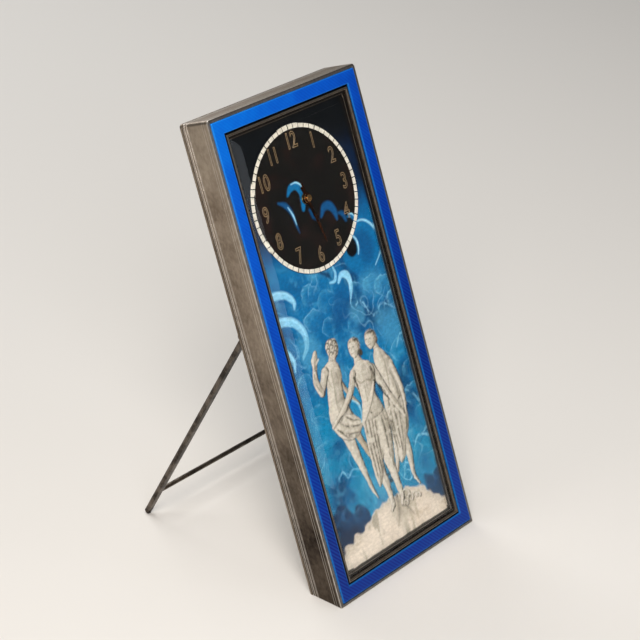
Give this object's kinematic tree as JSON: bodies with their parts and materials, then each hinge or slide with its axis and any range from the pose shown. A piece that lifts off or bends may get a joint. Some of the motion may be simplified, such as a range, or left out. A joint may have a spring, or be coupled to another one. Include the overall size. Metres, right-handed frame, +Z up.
{
  "type": "strut desk clock",
  "caption": "Slim leaning desk clock in silver: blue guilloche enamel border, bevelled glass over a painted plaque with dial, mechanical movement inside and a folding strut behind.",
  "frame": {"origin": "middle of the flat base on the surface the clock stands on", "axes": "+X to the right seen from the front, +Y from the face towards the back, +Z up"},
  "size_m": [0.069, 0.0882, 0.1507],
  "materials": {
    "case_silver": "aged silver, softly tarnished",
    "bezel_silver": "worn bright silver",
    "blue_enamel": "translucent guilloche enamel",
    "clear_glass": "polished, bevelled",
    "painted_enamel": "painted scene under clear flux",
    "movement_brass": "fine grained, gilt",
    "wheel_brass": "polished",
    "polished_steel": "polished",
    "blued_steel": "heat blued",
    "gilt_hands": "dark gilt",
    "strut_silver": "dark tarnished silver",
    "screw_silver": "aged silver"
  },
  "bodies": {
    "case": {"back_cover": "case_silver", "backing_plate": "movement_brass", "balance_cock": "movement_brass", "bevelled_glass": "clear_glass", "case_body": "case_silver", "click_screw": "blued_steel", "cock_screw": "blued_steel", "cover_screw_bottom_left": "screw_silver", "cover_screw_bottom_right": "screw_silver", "cover_screw_top_left": "screw_silver", "cover_screw_top_right": "screw_silver", "door_hinge_pin": "polished_steel", "enamel_border": "blue_enamel", "front_frame": "case_silver", "glass_bezel": "bezel_silver", "main_plate": "movement_brass", "minute_wheel_post": "polished_steel", "movement_screw_1": "polished_steel", "movement_screw_2": "polished_steel", "movement_screw_3": "polished_steel", "painted_plaque": "painted_enamel", "pillar_1": "movement_brass", "pillar_2": "movement_brass", "pillar_3": "movement_brass", "pillar_4": "movement_brass", "strut_bracket_left": "strut_silver", "strut_bracket_right": "strut_silver", "strut_pin_left": "polished_steel", "strut_pin_right": "polished_steel", "top_plate": "movement_brass"},
    "back_door": {"back_door": "case_silver"},
    "strut": {"strut_leg_left": "strut_silver", "strut_leg_right": "strut_silver", "strut_crossbar": "strut_silver"},
    "minute": {"minute_hand": "gilt_hands", "hand_nut": "gilt_hands", "cannon_pinion": "polished_steel", "centre_arbor": "polished_steel", "centre_wheel": "wheel_brass", "setting_knob": "movement_brass"},
    "hour": {"hour_hand": "gilt_hands", "hour_wheel": "wheel_brass"},
    "motion": {"minute_wheel": "wheel_brass"},
    "barrel_drum": {"barrel": "wheel_brass", "mainspring": "blued_steel"},
    "third": {"third_arbor": "polished_steel", "third_wheel": "wheel_brass"},
    "fourth": {"fourth_arbor": "polished_steel", "fourth_wheel": "wheel_brass"},
    "escape": {"escape_arbor": "polished_steel", "escape_wheel": "polished_steel"},
    "lever": {"pallet_lever": "polished_steel"},
    "balance": {"balance_wheel": "wheel_brass", "balance_staff": "polished_steel", "hairspring": "blued_steel"},
    "winding": {"winding_disc": "polished_steel", "ratchet_wheel": "polished_steel", "barrel_arbor": "polished_steel"},
    "click_pawl": {"click": "polished_steel"},
    "regulator_index": {"regulator": "polished_steel"}
  },
  "joints": [
    {"name": "strut_fold", "type": "hinge", "parent": "case", "child": "strut", "pos_m": [0, 0.03794, 0.08013], "axis": [1, 0, 0], "range_deg": [-48, 0]},
    {"name": "door_swing", "type": "hinge", "parent": "case", "child": "back_door", "pos_m": [-0.0221, 0.04826, 0.11351], "axis": [0, 0.3361, 0.9418], "range_deg": [0, 110]},
    {"name": "minute_turn", "type": "hinge", "parent": "case", "child": "minute", "pos_m": [0, 0.04223, 0.11566], "axis": [0, 0.9418, -0.3361], "continuous": true},
    {"name": "hour_turn", "type": "hinge", "parent": "case", "child": "hour", "pos_m": [0, 0.03846, 0.117], "axis": [0, 0.9418, -0.3361], "continuous": true},
    {"name": "minute_wheel_turn", "type": "hinge", "parent": "case", "child": "motion", "pos_m": [0.00564, 0.04057, 0.11843], "axis": [0, 0.9418, -0.3361], "continuous": true},
    {"name": "barrel_turn", "type": "hinge", "parent": "case", "child": "barrel_drum", "pos_m": [-0.00873, 0.04054, 0.11091], "axis": [0, 0.9418, -0.3361], "continuous": true},
    {"name": "third_turn", "type": "hinge", "parent": "case", "child": "third", "pos_m": [0.00351, 0.04427, 0.12138], "axis": [0, 0.9418, -0.3361], "continuous": true},
    {"name": "fourth_turn", "type": "hinge", "parent": "case", "child": "fourth", "pos_m": [0.00954, 0.04392, 0.12038], "axis": [0, 0.9418, -0.3361], "continuous": true},
    {"name": "escape_turn", "type": "hinge", "parent": "case", "child": "escape", "pos_m": [0.01047, 0.04213, 0.11537], "axis": [0, 0.9418, -0.3361], "continuous": true},
    {"name": "lever_rock", "type": "hinge", "parent": "case", "child": "lever", "pos_m": [0.00971, 0.04067, 0.11129], "axis": [0, 0.9418, -0.3361], "range_deg": [-4, 4]},
    {"name": "balance_swing", "type": "hinge", "parent": "case", "child": "balance", "pos_m": [0.0072, 0.03873, 0.10586], "axis": [0, 0.9418, -0.3361], "range_deg": [-270, 270], "stiffness_Nm_per_rad": 0.0000008},
    {"name": "winding_turn", "type": "hinge", "parent": "case", "child": "winding", "pos_m": [-0.00873, 0.04336, 0.1099], "axis": [0, 0.9418, -0.3361], "continuous": true},
    {"name": "click_lift", "type": "hinge", "parent": "case", "child": "click_pawl", "pos_m": [-0.0132, 0.04613, 0.11766], "axis": [0, 0.9418, -0.3361], "range_deg": [0, 12], "stiffness_Nm_per_rad": 0.00002},
    {"name": "regulator_turn", "type": "hinge", "parent": "case", "child": "regulator_index", "pos_m": [0.0072, 0.04203, 0.10469], "axis": [0, 0.9418, -0.3361], "range_deg": [-25, 25]}
  ],
  "couplings": [
    {"joint": "barrel_turn", "follows": "minute_turn", "ratio": -0.125},
    {"joint": "third_turn", "follows": "minute_turn", "ratio": -8},
    {"joint": "fourth_turn", "follows": "minute_turn", "ratio": 60},
    {"joint": "escape_turn", "follows": "minute_turn", "ratio": -480},
    {"joint": "minute_wheel_turn", "follows": "minute_turn", "ratio": -0.33333},
    {"joint": "hour_turn", "follows": "minute_turn", "ratio": 0.083333}
  ]
}
